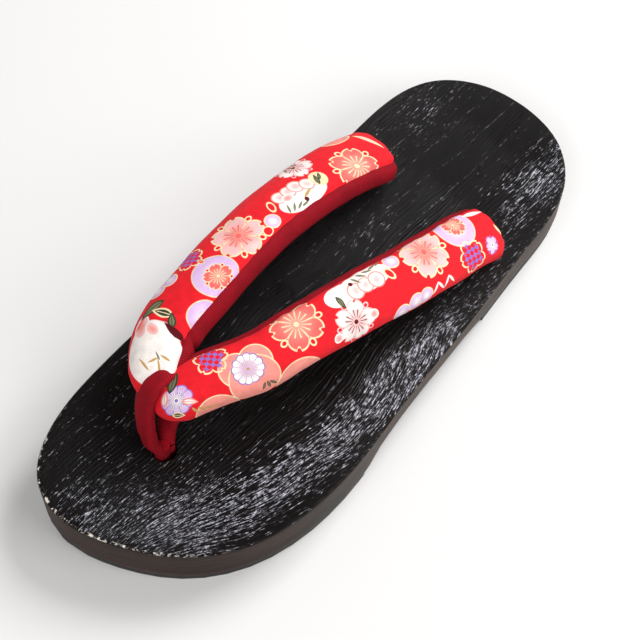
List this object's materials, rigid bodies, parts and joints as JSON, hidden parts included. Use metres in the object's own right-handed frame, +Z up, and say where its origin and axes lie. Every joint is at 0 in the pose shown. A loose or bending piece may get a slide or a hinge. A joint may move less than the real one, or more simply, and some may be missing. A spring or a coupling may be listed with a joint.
{
  "type": "geta sandal",
  "caption": "Left geta sandal: dished black wooden base with a low arch, rubber pads under toe and heel, and padded V-shaped cloth straps held by a front thong.",
  "frame": {"origin": "on the floor, under the middle of the outline's bounding box", "axes": "+X towards the toe, +Y towards the little toe, +Z up"},
  "size_m": [0.24, 0.0966, 0.054],
  "materials": {
    "black_stained_wood": "satin, brushed grain",
    "black_rubber": "matte",
    "printed_red_cotton": "printed, matte",
    "crimson_ribbed_cotton": "ribbed, matte",
    "crimson_cotton": "matte"
  },
  "bodies": {
    "root": {"base": "black_stained_wood", "front_rubber": "black_rubber", "heel_rubber": "black_rubber", "strap_cover": "printed_red_cotton", "strap_lining": "crimson_ribbed_cotton", "front_thong": "crimson_cotton"}
  },
  "joints": []
}
